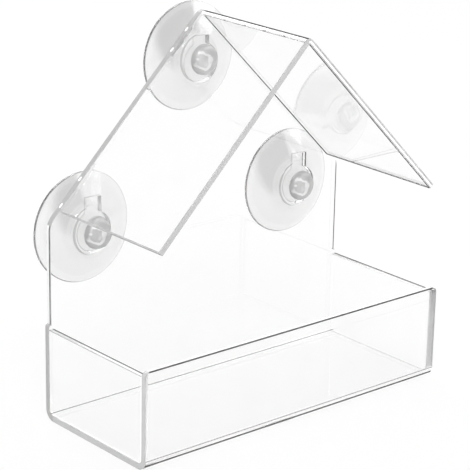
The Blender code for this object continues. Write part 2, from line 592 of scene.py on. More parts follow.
class CupPlace(NamedTuple):
    """A place on a suction cup, from the middle of its seat, and its distance from the cup's axis."""

    offset: Socket
    across: Socket
    depth: Socket
    upright: Socket
    radius: Socket


@dataclass(frozen=True)
class FlowMark:
    """The smoky mark that moulding left in a cup: a leaning sector between its shoulder and its lip.

    Its sides and leans are shares of a turn, and straight up is half a turn.
    """

    left: float
    right: float
    tint: float = 0.68
    straight_up: float = 0.5
    left_lean: float = 0.17
    left_softness: float = 0.045
    right_softness: float = 0.012
    start: float = 0.0010
    fade_start: float = 0.0030
    fade_end: float = 0.0015
    rim_share: float = 0.75

    def mask(self, place: CupPlace, shoulder: float, rim: float) -> Socket:
        """Return how smoky the cup is.

        Args:
            place: The place on the cup.
            shoulder: The radius of the cup's seat.
            rim: The radius of the cup.

        Returns:
            0 where it is clear and 1 where it is smoky.
        """
        turn = place.across.angle_from(place.upright) / -FULL_TURN + self.straight_up
        lean = (rim - place.radius) / (rim - shoulder) * self.left_lean
        left_side = (turn - lean).ramp(self.left - self.left_softness, self.left + self.left_softness, 1, 0)
        right_side = turn.ramp(self.right - self.right_softness, self.right + self.right_softness)
        inside = place.radius.ramp(shoulder, shoulder + self.start)
        outside = place.radius.ramp(rim - self.fade_start, rim - self.fade_end, 1, self.rim_share)
        return left_side * right_side * inside * outside


@dataclass(frozen=True)
class ShoulderShade:
    """The dark crescent at the left of a cup's seat."""

    tint: float = 0.34
    outer: float = 0.0096
    width: float = 0.0011
    depth: float = 0.0004
    softness: float = 0.0002

    def mask(self, place: CupPlace) -> Socket:
        """Return how dark the shoulder is.

        Args:
            place: The place on the cup.

        Returns:
            0 where it is clear and 1 where it is dark.
        """
        leftwards = (place.across / place.radius * -1).at_least(0)
        inside = (place.radius - self.outer + leftwards * self.width).ramp(0, self.softness)
        outside = place.radius.ramp(self.outer, self.outer + self.softness, 1, 0)
        return inside * outside * place.depth.ramp(self.depth, self.depth + self.softness, 1, 0)


@dataclass(frozen=True)
class HeadGlints:
    """The pale marks on a cup's head: the bent outline of a window, open at its left, and a round spot."""

    tint: float = 0.95
    centre: Triple = (-0.0024, 0, 0.0002)
    turn: float = math.radians(-28)
    half_width: float = 0.0038
    half_height: float = 0.0028
    line_width: float = 0.12
    softness: float = 0.16
    opening_start: float = -0.85
    opening_end: float = -0.60
    ripple: float = 0.0026
    ripple_scale: float = 320
    squareness: float = 4
    spot_centre: Triple = (-0.0050, 0, 0.0012)
    spot_core: float = 0.0002
    spot_radius: float = 0.0008

    def mask(self, tree: Tree, place: CupPlace) -> Socket:
        """Return how pale the head is.

        Args:
            tree: The material's tree.
            place: The place on the cup.

        Returns:
            0 where it is plain and 1 where it is pale.
        """
        flat = tree.vector("MULTIPLY", place.offset, OFF_THE_AXIS)
        apart = tree.vector("DISTANCE", flat, self.spot_centre, name="Value")
        spot = apart.ramp(self.spot_core, self.spot_radius, 1, 0)
        return self._window(tree, place.offset).at_least(spot)

    def _window(self, tree: Tree, offset: Socket) -> Socket:
        """Return the outline of the window: a rounded square, rippled and turned about the head's axis.

        Args:
            tree: The material's tree.
            offset: The place, from the middle of the cup's seat.

        Returns:
            0 off the outline and 1 on it.
        """
        sockets = {"Vector": offset, "Scale": self.ripple_scale}
        wave = tree.output("ShaderNodeTexNoise", None, sockets, "Color")
        centred = tree.vector("SUBTRACT", wave, NOISE_MIDDLE)
        rippled = tree.vector("MULTIPLY_ADD", centred, (self.ripple, 0, self.ripple), offset)
        sockets = {"Vector": rippled, "Center": self.centre, "Angle": self.turn}
        turned = tree.output("ShaderNodeVectorRotate", {"rotation_type": "Y_AXIS"}, sockets)
        across, _, upright = tree.split(tree.vector("SUBTRACT", turned, self.centre))
        across = across / self.half_width
        upright = upright / self.half_height
        square = across.size().power(self.squareness) + upright.size().power(self.squareness)
        off_line = (square.power(1 / self.squareness) - 1).size()
        line = off_line.ramp(self.line_width, self.line_width + self.softness, 1, 0)
        return line * across.ramp(self.opening_start, self.opening_end)


@dataclass(frozen=True)
class SoftVinyl(Finish):
    """The moulded suction cups: clear, milky where thick, with a smoky flow mark at the upper left."""

    name: str
    centre: Triple
    shape: "CupShape"
    flow_mark: FlowMark
    shoulder: ShoulderShade = ShoulderShade()
    glints: HeadGlints = HeadGlints()
    tint_stops: tuple[tuple[float, float], ...] = (
        (0.0, 0.88), (0.43, 0.88), (0.60, 0.91), (0.84, 0.91), (0.88, 0.95), (1.0, 0.94)
    )
    rim_tint: float = 0.14
    pale_rim_tint: float = 0.74
    rim_share: float = 0.989
    rim_left: float = -0.010
    rim_right: float = 0.002
    head_tint: float = 0.62
    head_dark_tint: float = 0.54
    edge_softness: float = 0.0002
    roughness: float = 0.06
    flow_roughness: float = 0.16
    transmission: float = 0.93
    head_transmission: float = 0.15
    ior: float = 1.52
    flow_scale: float = 110
    flow_detail: float = 3
    flow_low: float = 0.3
    flow_high: float = 0.7
    flow_height: float = 0.00006
    bump_strength: float = 0.5

    def _cup_colour(self, tree: Tree, place: CupPlace) -> Socket:
        """Return the colour of the flared cup and its neck.

        Args:
            tree: The material's tree.
            place: The place on the cup.

        Returns:
            The colour.
        """
        shape, radius = self.shape, place.radius
        stops = [(position, grey(value)) for position, value in self.tint_stops]
        colour = tree.output("ShaderNodeValToRGB", {"stops": stops}, {"Fac": radius / shape.radius})
        smoke = self.flow_mark.mask(place, shape.seat_radius, shape.radius)
        colour = tree.mix(smoke, colour, grey(self.flow_mark.tint))
        colour = tree.mix(self.shoulder.mask(place), colour, grey(self.shoulder.tint))
        side = place.across.ramp(self.rim_left, self.rim_right)
        rim_colour = tree.mix(side, grey(self.rim_tint), grey(self.pale_rim_tint))
        rim_start = shape.radius * self.rim_share
        return tree.mix(radius.ramp(rim_start - self.edge_softness, rim_start), colour, rim_colour)

    def _head_colour(self, tree: Tree, place: CupPlace, flow: Socket) -> Socket:
        """Return the colour of the mushroom head.

        Args:
            tree: The material's tree.
            place: The place on the cup.
            flow: The flow of the vinyl.

        Returns:
            The colour.
        """
        streaks = flow.ramp(self.flow_low, self.flow_high)
        tint = tree.mix(streaks, grey(self.head_tint), grey(self.head_dark_tint))
        return tree.mix(self.glints.mask(tree, place), tint, grey(self.glints.tint))

    def surface(self, tree: Tree, place: Socket) -> Socket:
        """Return the shader that covers the piece.

        Args:
            tree: The material's tree.
            place: The piece's Object coordinates.

        Returns:
            The shader.
        """
        offset = tree.vector("SUBTRACT", place, self.centre)
        off_axis = tree.vector("MULTIPLY", offset, OFF_THE_AXIS)
        on_cup = CupPlace(offset, *tree.split(offset), tree.vector("LENGTH", off_axis, name="Value"))
        flow = tree.noise(offset, self.flow_scale, self.flow_detail)
        bump = {"Strength": self.bump_strength, "Distance": self.flow_height, "Height": flow}
        shared = {
            "Roughness": flow.ramp(self.flow_low, self.flow_high, self.roughness, self.flow_roughness),
            "IOR": self.ior,
            "Normal": tree.output("ShaderNodeBump", None, bump),
        }
        cup = tree.principled({
            "Base Color": self._cup_colour(tree, on_cup),
            "Transmission Weight": self.transmission,
            **shared,
        })
        knob = tree.principled({
            "Base Color": self._head_colour(tree, on_cup, flow),
            "Transmission Weight": self.head_transmission,
            **shared,
        })
        neck_end = -self.shape.neck_length
        head = on_cup.depth.ramp(neck_end, neck_end + self.edge_softness, 1, 0)
        return tree.blend(head, cup, knob)


class GeometryTool:
    """A Geometry Nodes tree with named inputs that makes one plain mesh out of another."""

    def __init__(self, name: str, inputs: dict[str, str]) -> None:
        """Start the tree.

        Args:
            name: The tree's name.
            inputs: The socket type of each input, by name.
        """
        self.group = bpy.data.node_groups.new(name, "GeometryNodeTree")
        self.tree = Tree(self.group)
        self.group.interface.new_socket("Geometry", in_out="OUTPUT", socket_type="NodeSocketGeometry")
        self.identifiers = {}
        for label, kind in {"Geometry": "NodeSocketGeometry", **inputs}.items():
            socket = self.group.interface.new_socket(label, in_out="INPUT", socket_type=kind)
            self.identifiers[label] = socket.identifier
        self.entry = self.tree.node("NodeGroupInput")

    def given(self, label: str) -> Socket:
        """Return one of the tree's inputs."""
        return Socket(self.tree, self.entry.outputs[label])

    def finish(self, geometry: Socket) -> None:
        """End the tree with real geometry."""
        real = self.tree.output("GeometryNodeRealizeInstances", None, {0: geometry})
        self.tree.node("NodeGroupOutput", None, {0: real})

    def apply(self, obj: bpy.types.Object, values: dict[str, Any]) -> None:
        """Run the tree on an object and keep the result as its plain mesh.

        Args:
            obj: The object, whose mesh is what goes in.
            values: The value of each named input.
        """
        modifier = obj.modifiers.new(self.group.name, "NODES")
        modifier.node_group = self.group
        for label, value in values.items():
            modifier[self.identifiers[label]] = value
        keep_evaluated_mesh(obj)


def new_object(name: str, data: bpy.types.ID) -> bpy.types.Object:
    """Add an object to the scene.

    Args:
        name: Its name.
        data: Its mesh, lamp or camera.

    Returns:
        The object.
    """
    obj = bpy.data.objects.new(name, data)
    bpy.context.scene.collection.objects.link(obj)
    return obj


def keep_evaluated_mesh(obj: bpy.types.Object) -> None:
    """Replace an object's mesh by what its modifiers make of it, and drop them.

    Args:
        obj: The object.
    """
    graph = bpy.context.evaluated_depsgraph_get()
    mesh = bpy.data.meshes.new_from_object(obj.evaluated_get(graph), depsgraph=graph)
    old = obj.data
    obj.modifiers.clear()
    obj.data = mesh
    mesh.name = obj.name
    bpy.data.meshes.remove(old)


class SheetBender(GeometryTool):
    """Bends a flat plate at two lines, as a strip heater does, and gives each kind of surface its finish.

    The plate lies on the XY plane with its outer face down. It curls towards +Z where Y passes a bend's
    start.
    """

    BENDS = ("First", "Second")
    FINISH_LABELS = {surface: surface.name.replace("_", " ").capitalize() for surface in Surface}

    def __init__(self) -> None:
        """Build the tree."""
        inputs = {"Thickness": "NodeSocketFloat"}
        for bend in self.BENDS:
            for size in ("start", "inner radius", "angle"):
                inputs[f"{bend} bend {size}"] = "NodeSocketFloat"
        inputs |= {label: "NodeSocketMaterial" for label in self.FINISH_LABELS.values()}
        super().__init__("Heat-bent sheet", inputs)
        geometry = self.given("Geometry")
        for bend in reversed(self.BENDS):
            geometry = self._bend(geometry, bend)
        self.finish(self._dress(geometry))

    def _bend(self, geometry: Socket, bend: str) -> Socket:
        """Add the nodes of one bend.

        Args:
            geometry: What is bent.
            bend: The bend's name, which starts its inputs' names.

        Returns:
            The bent geometry.
        """
        tree = self.tree
        thickness = self.given("Thickness")
        start = self.given(f"{bend} bend start")
        inner = self.given(f"{bend} bend inner radius")
        angle = self.given(f"{bend} bend angle")
        across, along, rise = tree.split(tree.output("GeometryNodeInputPosition"))
        middle = inner + thickness / 2
        centre = inner + thickness
        past = along - start
        turn = (past.at_least(0) / middle).at_most(angle)
        straight = (past - middle * angle).at_least(0)
        radius = centre - rise
        new_along = start + past.at_most(0) + radius * turn.sine() + straight * turn.cosine()
        new_rise = centre - radius * turn.cosine() + straight * turn.sine()
        bent = tree.output("ShaderNodeCombineXYZ", None, {"X": across, "Y": new_along, "Z": new_rise})
        return tree.output("GeometryNodeSetPosition", None, {"Geometry": geometry, "Position": bent})

    def _dress(self, geometry: Socket) -> Socket:
        """Add the nodes that give each kind of surface its material.

        Args:
            geometry: The bent geometry.

        Returns:
            The dressed geometry.
        """
        tree = self.tree
        settings, sockets = {"data_type": "INT"}, {"Name": SURFACE_LAYER}
        kind = tree.output("GeometryNodeInputNamedAttribute", settings, sockets)
        compare = {"data_type": "INT", "operation": "EQUAL"}
        for surface, label in self.FINISH_LABELS.items():
            chosen = tree.output("FunctionNodeCompare", compare, {"A": kind, "B": int(surface)})
            sockets = {"Geometry": geometry, "Selection": chosen, "Material": self.given(label)}
            geometry = tree.output("GeometryNodeSetMaterial", None, sockets)
        return geometry


class Turner(GeometryTool):
    """Turns a profile once around the Z axis. The profile's points are given in order, radius along X."""

    def __init__(self) -> None:
        """Build the tree."""
        inputs = {"Segments": "Int", "Weld": "Float", "Finish": "Material"}
        super().__init__("Turned form", {label: f"NodeSocket{kind}" for label, kind in inputs.items()})
        tree = self.tree
        profile = self.given("Geometry")
        settings = {"component": "MESH"}
        count = tree.output("GeometryNodeAttributeDomainSize", settings, {0: profile}, "Point Count")
        columns = self.given("Segments") + 1
        sockets = {"Vertices X": count, "Vertices Y": columns}
        grid = tree.output("GeometryNodeMeshGrid", None, sockets, "Mesh")
        index = tree.output("GeometryNodeInputIndex")
        row = (index / columns).floor()
        column = index - row * columns
        place = tree.output("GeometryNodeInputPosition")
        settings = {"data_type": "FLOAT_VECTOR", "domain": "POINT"}
        sockets = {"Geometry": profile, "Value": place, "Index": row}
        sample = tree.output("GeometryNodeSampleIndex", settings, sockets, "Value")
        sockets = {"Vector": sample, "Angle": FULL_TURN * column / self.given("Segments")}
        turned = tree.output("ShaderNodeVectorRotate", {"rotation_type": "Z_AXIS"}, sockets)
        moved = tree.output("GeometryNodeSetPosition", None, {"Geometry": grid, "Position": turned})
        sockets = {"Geometry": moved, "Distance": self.given("Weld")}
        closed = tree.output("GeometryNodeMergeByDistance", None, sockets)
        sockets = {"Geometry": closed, "Material": self.given("Finish")}
        self.finish(tree.output("GeometryNodeSetMaterial", None, sockets))


def arc(centre: Vector, radius: float, start: float, end: float, steps: int) -> list[Vector]:
    """Return points on an arc, both ends included.

    Args:
        centre: The arc's centre.
        radius: Its radius.
        start: The first point's angle.
        end: The last point's angle.
        steps: How many straight steps stand for the arc.

    Returns:
        The points, in order.
    """
    angles = [start + (end - start) * step / steps for step in range(steps + 1)]
    return [centre + radius * Vector((math.cos(angle), math.sin(angle))) for angle in angles]


def rounded_outline(corners: Sequence[Triple], steps_per_quarter: int) -> list[Vector]:
    """Return the points of a closed outline.

    Args:
        corners: Each corner's place across and along, and its radius.
        steps_per_quarter: How many straight steps stand for a quarter turn.

    Returns:
        The points, in order.
    """
    points = []
    for index, (x, y, radius) in enumerate(corners):
        corner = Vector((x, y))
        if radius == 0:
            points.append(corner)
            continue
        before = (Vector(corners[index - 1][:2]) - corner).normalized()
        after = (Vector(corners[(index + 1) % len(corners)][:2]) - corner).normalized()
        half_angle = before.angle(after) / 2
        centre = corner + (before + after).normalized() * radius / math.sin(half_angle)
        first = corner + before * radius / math.tan(half_angle) - centre
        turn = first.angle_signed(corner + after * radius / math.tan(half_angle) - centre)
        start = math.atan2(first.y, first.x)
        steps = max(FEWEST_ARC_STEPS, round(steps_per_quarter * abs(turn) / QUARTER_TURN))
        points += arc(centre, radius, start, start - turn, steps)
    return points


def inset_loop(loop: Sequence[Vector], distance: float) -> list[Vector]:
    """Return a closed loop moved to its left by a distance.

    Args:
        loop: The loop's points, in order.
        distance: How far it moves.

    Returns:
        As many points, in the same order.
    """
    moved = []
    for index, point in enumerate(loop):
        before = (point - loop[index - 1]).normalized()
        after = (loop[(index + 1) % len(loop)] - point).normalized()
        left = Vector((-before.y - after.y, before.x + after.x))
        moved.append(point + left * distance / (1 + before.dot(after)))
    return moved


@dataclass(frozen=True)
class Stripe:
    """A narrow stretch of a blank's face with a finish of its own."""

    across: tuple[float, float]
    along: tuple[float, float]
    side: SheetSide
    finish: Surface = Surface.DARK_LINE


@dataclass(frozen=True)
class BendLine:
    """A stretch of a bend's arc that shows as a thin line, as shares of the arc."""

    start: float
    end: float
    side: SheetSide
    finish: Surface = Surface.DARK_LINE


@dataclass(frozen=True)
class Bend:
    """One bend across a sheet."""

    start: float
    inner_radius: float
    angle: float
    lines: tuple[BendLine, ...] = ()

    def length(self, thickness: float) -> float:
        """Return the bend's length along the middle of a sheet."""
        return (self.inner_radius + thickness / 2) * self.angle


@dataclass(frozen=True)
class SheetStock:
    """The sheet that the feeder is cut from, and how finely it is modelled."""

    thickness: float = 0.0025
    arris: float = 0.00025
    hole_arris: float = 0.00015
    edge_strip: float = 0.0006
    arris_steps: int = 3
    bend_steps: int = 20
    corner_steps: int = 10
    cement_line: float = 0.00005
    normal_weight: int = 100
    nicks: tuple[Triple, ...] = (
        (-0.0080, 0.0306, 0.1483),
        (-0.0152, 0.0306, 0.1411),
        (-0.0600, 0.0306, 0.0963),
        (-0.0690, 0.0306, 0.0873),
    )


# An angle of nothing leaves the sheet flat, and it starts past the end of every blank.
NO_BEND = Bend(start=1, inner_radius=1, angle=0)
WHOLE_WIDTH = (-1.0, 1.0)


@dataclass(frozen=True)
class Blank:
    """A flat blank as it is cut: its outline and holes, all anticlockwise, its bends and its stripes.

    Edge work is told by the middle of a stretch of edge and the direction that it faces.
    """

    outline: Sequence[Vector]
    edge_work: EdgeChoice
    holes: Sequence[Sequence[Vector]] = ()
    hole_work: EdgeChoice | None = None
    bends: Sequence[Bend] = ()
    stripes: Sequence[Stripe] = ()


class SheetShop:
    """Cuts plates with eased edges from the stock, bends them and puts them in place."""

    def __init__(self, stock: SheetStock) -> None:
        """Set up the shop.

        Args:
            stock: The sheet.
        """
        self.stock = stock
        self.bender = SheetBender()
        self.finishes = {surface: finish.build() for surface, finish in self._finishes().items()}

    def _finishes(self) -> dict[Surface, Finish]:
        """Choose the finishes.

        Returns:
            The finish of each kind of surface.
        """
        line = partial(Arris, light=0.10, dark=0.06, specular=0)
        return {
            Surface.FACE: ClearAcrylic(),
            Surface.CUT_EDGE: CutEdge(),
            Surface.NICKED_EDGE: CutEdge(
                "clear_acrylic_nicked_edge", tint=0.46, streak_tint=0.39, nicks=self.stock.nicks
            ),
            Surface.PALE_EDGE: CutEdge("clear_acrylic_pale_edge", tint=0.98, streak_tint=0.85),
            Surface.LIT_EDGE: CutEdge("clear_acrylic_lit_edge", tint=0.98, streak_tint=0.90, glow=0.22),
            Surface.DULL_EDGE: CutEdge("clear_acrylic_dull_edge", tint=0.51, streak_tint=0.43),
            Surface.ARRIS: Arris(),
            Surface.DARK_LINE: line("clear_acrylic_dark_line"),
            Surface.OUTLINE: line("clear_acrylic_outline", clear_inside=True),
            Surface.SATIN_EDGE: CutEdge("clear_acrylic_satin_edge", tint=0.86, streak_tint=0.72),
            Surface.CEMENT: ClearAcrylic("clear_acrylic_cement", ior=1, wave_height=0),
        }

    def make(self, name: str, blank: Blank, place: Matrix) -> bpy.types.Object:
        """Make one sheet piece.

        Args:
            name: The piece's name.
            blank: The flat blank, with up to two bends in order along Y.
            place: Where the bent sheet goes.

        Returns:
            The piece, with its place in its mesh.
        """
        plate = self._plate(blank)
        for bend in blank.bends:
            self._bend_lines(plate, bend)
        for stripe in blank.stripes:
            self._mark_stripe(plate, stripe)
        mesh = bpy.data.meshes.new(name)
        plate.to_mesh(mesh)
        plate.free()
        mesh.shade_smooth()
        piece = new_object(name, mesh)
        values: dict[str, Any] = {"Thickness": self.stock.thickness}
        for label, bend in zip(SheetBender.BENDS, [*blank.bends, NO_BEND, NO_BEND]):
            values[f"{label} bend start"] = bend.start
            values[f"{label} bend inner radius"] = bend.inner_radius
            values[f"{label} bend angle"] = bend.angle
        values |= {label: self.finishes[surface] for surface, label in SheetBender.FINISH_LABELS.items()}
        self.bender.apply(piece, values)
        piece.data.transform(place)
        weighted = piece.modifiers.new("even_normals", "WEIGHTED_NORMAL")
        weighted.weight = self.stock.normal_weight
        keep_evaluated_mesh(piece)
        return piece

    def _plate(self, blank: Blank) -> bmesh.types.BMesh:
        """Make a flat plate whose edges are eased, with the kind of surface on each face.

        Args:
            blank: The flat blank.

        Returns:
            The plate, with its outer face on the XY plane.
        """
        stock = self.stock
        plate = bmesh.new()
        surface = plate.faces.layers.int.new(SURFACE_LAYER)
        loops = [list(blank.outline), *(list(reversed(hole)) for hole in blank.holes)]
        easings = [stock.arris, *(stock.hole_arris for _ in blank.holes)]
        eased = [inset_loop(loop, easing) for loop, easing in zip(loops, easings)]
        caps = [eased[0], *(list(reversed(loop)) for loop in eased[1:])]
        self._fill(plate, caps, 0)
        self._fill(plate, caps, stock.thickness)
        for face in plate.faces:
            face[surface] = Surface.FACE
        works = [blank.edge_work, *(blank.hole_work for _ in blank.holes)]
        for loop, easing, edge_work in zip(loops, easings, works):
            self._wall(plate, loop, easing, edge_work)
        bmesh.ops.remove_doubles(plate, verts=plate.verts, dist=WELD_DISTANCE)
        bmesh.ops.recalc_face_normals(plate, faces=plate.faces)
        return plate

    def _wall(
        self, plate: bmesh.types.BMesh, loop: Sequence[Vector], easing: float, edge_work: EdgeChoice
    ) -> None:
        """Add the sheet's cut edge along a loop: an arris, a strip, the flat, a strip and an arris.

        Args:
            plate: What the faces are added to.
            loop: The loop's points, in order, with the sheet at their left.
            easing: The size of the arrises.
            edge_work: How the edge is worked at each place.
        """
        surface = plate.faces.layers.int[SURFACE_LAYER]
        steps = self.stock.arris_steps
        levels = []
        for step in range(steps + 1):
            angle = QUARTER_TURN * step / steps
            levels.append((easing * (1 - math.sin(angle)), easing * (1 - math.cos(angle))))
        levels.append((0, easing + self.stock.edge_strip))
        levels += [(inset, self.stock.thickness - rise) for inset, rise in reversed(levels)]
        rings = []
        for inset, rise in levels:
            rings.append([plate.verts.new((point.x, point.y, rise)) for point in inset_loop(loop, inset)])
        for index, point in enumerate(loop):
            along = (point - loop[index - 1]).normalized()
            work = edge_work((loop[index - 1] + point) / 2, Vector((along.y, -along.x)))
            outer, *flat, inner = work.value
            for kind, ring, next_ring in zip([outer] * steps + flat + [inner] * steps, rings, rings[1:]):
                corners = (ring[index - 1], ring[index], next_ring[index], next_ring[index - 1])
                plate.faces.new(corners)[surface] = kind

    @staticmethod
    def _fill(plate: bmesh.types.BMesh, loops: Sequence[Sequence[Vector]], rise: float) -> None:
        """Fill the first loop with triangles, but not the others inside it.

        Args:
            plate: What the faces are added to.
            loops: The outline and the holes, all anticlockwise.
            rise: The height of the filled face.
        """
        triangles_inside = 1
        points = []
        rings = []
        for loop in loops:
            rings.append(list(range(len(points), len(points) + len(loop))))
            points += loop
        filled = delaunay_2d_cdt(points, [], rings, triangles_inside, WELD_DISTANCE)
        corners, _, triangles, _, _, owners = filled
        verts = [plate.verts.new((corner.x, corner.y, rise)) for corner in corners]
        for triangle, owning_loops in zip(triangles, owners):
            in_a_hole = len(owning_loops) > 1
            if not in_a_hole:
                plate.faces.new([verts[index] for index in triangle])

    @staticmethod
    def _cut(plate: bmesh.types.BMesh, place: Triple, facing: Triple) -> None:
        """Cut a plate's faces at a plane.

        Args:
            plate: The flat plate.
            place: A point of the plane.
            facing: The plane's direction.
        """
        everything = plate.verts[:] + plate.edges[:] + plate.faces[:]
        bmesh.ops.bisect_plane(plate, geom=everything, dist=WELD_DISTANCE, plane_co=place, plane_no=facing)

    def _bend_lines(self, plate: bmesh.types.BMesh, bend: Bend) -> None:
        """Cut a plate's faces across at the lines that a bend turns about, and mark its thin lines.

        Args:
            plate: The flat plate.
            bend: The bend.
        """
        length = bend.length(self.stock.thickness)
        for step in range(self.stock.bend_steps + 1):
            self._cut(plate, (0, bend.start + length * step / self.stock.bend_steps, 0), (0, 1, 0))
        for line in bend.lines:
            along = (bend.start + length * line.start, bend.start + length * line.end)
            self._mark_stripe(plate, Stripe(WHOLE_WIDTH, along, line.side, line.finish))

    def _mark_stripe(self, plate: bmesh.types.BMesh, stripe: Stripe) -> None:
        """Cut out a stripe of one face of a plate and give it its finish.

        Args:
            plate: The flat plate.
            stripe: The stripe.
        """
        for limit in stripe.across:
            self._cut(plate, (limit, 0, 0), (1, 0, 0))
        for limit in stripe.along:
            self._cut(plate, (0, limit, 0), (0, 1, 0))
        surface = plate.faces.layers.int[SURFACE_LAYER]
        level = self.stock.thickness if stripe.side is SheetSide.INNER else 0
        (left, right), (low, high) = stripe.across, stripe.along
        for face in plate.faces:
            middle = face.calc_center_median()
            level_with_it = abs(middle.z - level) < WELD_DISTANCE
            if level_with_it and left < middle.x < right and low < middle.y < high:
                face[surface] = stripe.finish


@dataclass(frozen=True)
class Keyhole:
    """A round hole with a square-ended slot above it."""

    across: float
    height: float
    slot_rise: float
    radius: float = 0.0080
    slot_width: float = 0.0070
    steps: int = 48

    def outline(self, middle: Vector) -> list[Vector]:
        """Return the keyhole's outline, anticlockwise.

        Args:
            middle: The round hole's middle on the blank.

        Returns:
            The outline's points.
        """
        half_slot = self.slot_width / 2
        slot_angle = math.asin(half_slot / self.radius)
        start = QUARTER_TURN + slot_angle
        end = QUARTER_TURN - slot_angle + FULL_TURN
        corners = [Vector((half_slot, self.slot_rise)), Vector((-half_slot, self.slot_rise))]
        return arc(middle, self.radius, start, end, self.steps) + [middle + corner for corner in corners]


@dataclass
class FeederBody:
    """The bent sheet that makes the gabled back, the floor and the front wall."""

    shop: SheetShop
    front_wall_height: float = 0.0400
    bend_inner_radius: float = 0.0020
    front_corner_radius: float = 0.0020
    gable_inset: float = 0.0011
    shoulder_radius: float = 0.0080
    roof_peak_height: float = 0.1563
    peak_radius: float = 0.0029
    keyholes: tuple[Keyhole, ...] = (
        Keyhole(across=0, height=0.1332, slot_rise=0.0107),
        Keyhole(across=-KEYHOLE_SPACING, height=0.0735, slot_rise=0.0137),
        Keyhole(across=KEYHOLE_SPACING, height=0.0735, slot_rise=0.0137),
    )
    satin_side_length: float = 0.0010
    side_line: float = 0.0005
    front_lines: tuple[BendLine, ...] = (
        BendLine(0.0, 0.035, SheetSide.OUTER, Surface.OUTLINE),
        BendLine(0.26, 0.42, SheetSide.OUTER, Surface.OUTLINE),
    )
    back_lines: tuple[BendLine, ...] = (BendLine(0.42, 0.52, SheetSide.INNER),)

    def __post_init__(self) -> None:
        """Read the outer sizes from the frame and work out the blank."""
        self.low, self.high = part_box("body_sheet")
        thickness = self.shop.stock.thickness
        outer_radius = self.bend_inner_radius + thickness
        front_start = self.front_wall_height - outer_radius
        self.front_bend = Bend(front_start, self.bend_inner_radius, QUARTER_TURN, self.front_lines)
        front_end = self.front_bend.start + self.front_bend.length(thickness)
        back_start = front_end + self.high.y - self.low.y - 2 * outer_radius
        self.back_bend = Bend(back_start, self.bend_inner_radius, QUARTER_TURN, self.back_lines)
        self.back_start = back_start + self.back_bend.length(thickness) - outer_radius
        self.gable_half_width = self.high.x - self.gable_inset
        self.shoulder_height = self.roof_peak_height - self.gable_half_width

    def _blank_place(self, height: float) -> float:
        """Return how far along the blank a height on the back lies."""
        return self.back_start + height

    def _outline(self) -> list[Vector]:
        """Draw the blank's outline.

        Returns:
            Its points, anticlockwise from the front wall's right corner.
        """
        half_width = self.high.x
        gable_half_width = self.gable_half_width
        right_half = [
            (half_width, 0, self.front_corner_radius),
            (half_width, self.front_bend.start, 0),
            (half_width, self.back_bend.start, 0),
            (half_width, self._blank_place(self.front_wall_height), self.gable_inset),
            (gable_half_width, self._blank_place(self.front_wall_height), 0),
            (gable_half_width, self._blank_place(self.shoulder_height), self.shoulder_radius),
        ]
        peak = (0, self._blank_place(self.roof_peak_height), self.peak_radius)
        left_half = [(-across, along, radius) for across, along, radius in reversed(right_half)]
        return rounded_outline(right_half + [peak] + left_half, self.shop.stock.corner_steps)

    def _edge_work(self, middle: Vector, facing: Vector) -> EdgeWork:
        """Return how the outline is worked at a place.

        Args:
            middle: The middle of a stretch of edge.
            facing: The direction that it faces.

        Returns:
            Flamed with a dark line at the front wall's top. Satin up the front wall's right side, and
            cemented where the right panel closes. Sawn up the left to the back bend, and nicked from there
            to the front wall's height. Higher up, clear at the right, and at the left flamed with a fine
            line on the side and nicked on the gable.
        """
        if abs(middle.y) < WELD_DISTANCE:
            return EdgeWork.FLAMED_DARK_OUTSIDE
        if facing.x > LEANING:
            return EdgeWork.SATIN_LINED if middle.y < self.front_bend.start else EdgeWork.CEMENTED
        if middle.y < self.back_bend.start:
            return EdgeWork.SAWN
        if middle.y < self._blank_place(self.front_wall_height):
            return EdgeWork.NICKED
        if facing.x > 0:
            return EdgeWork.CLEAR
        if middle.y < self._blank_place(self.shoulder_height - self.satin_side_length):
            return EdgeWork.FLAMED_FINE_LINE
        return EdgeWork.NICKED

    @staticmethod
    def _hole_work(middle: Vector, facing: Vector) -> EdgeWork:
        """Return how a keyhole is worked at a place.

        Args:
            middle: The middle of a stretch of edge.
            facing: The direction that it faces.

        Returns:
            Outlined, and flamed where it faces left, but clear there in the right keyhole.
        """
        if facing.x > -LEANING:
            return EdgeWork.OUTLINED_OUTSIDE
        return EdgeWork.FLAMED if middle.x < KEYHOLE_SPACING / 2 else EdgeWork.CLEAR_OUTLINED

    def build(self) -> bpy.types.Object:
        """Make the piece.

        Returns:
            The finished piece.
        """
        holes = [
            hole.outline(Vector((hole.across, self._blank_place(hole.height))))
            for hole in self.keyholes
        ]
        place = Matrix((
            (1, 0, 0, 0),
            (0, 0, 1, self.low.y),
            (0, -1, 0, self.front_wall_height),
            (0, 0, 0, 1),
        ))
        edge = self.gable_half_width - self.shop.stock.arris
        side_top = self._blank_place(self.shoulder_height)
        side_line = Stripe(
            (edge - self.side_line, edge),
            (self._blank_place(self.front_wall_height), side_top),
            SheetSide.INNER,
        )
        blank = Blank(
            outline=self._outline(),
            edge_work=self._edge_work,
            holes=holes,
            hole_work=self._hole_work,
            bends=(self.front_bend, self.back_bend),
            stripes=(side_line,),
        )
        return self.shop.make("acrylic_body", blank, place)


class PanelWorks(NamedTuple):
    """How three edges of an end panel are worked."""

    top: EdgeWork
    front: EdgeWork
    floor: EdgeWork


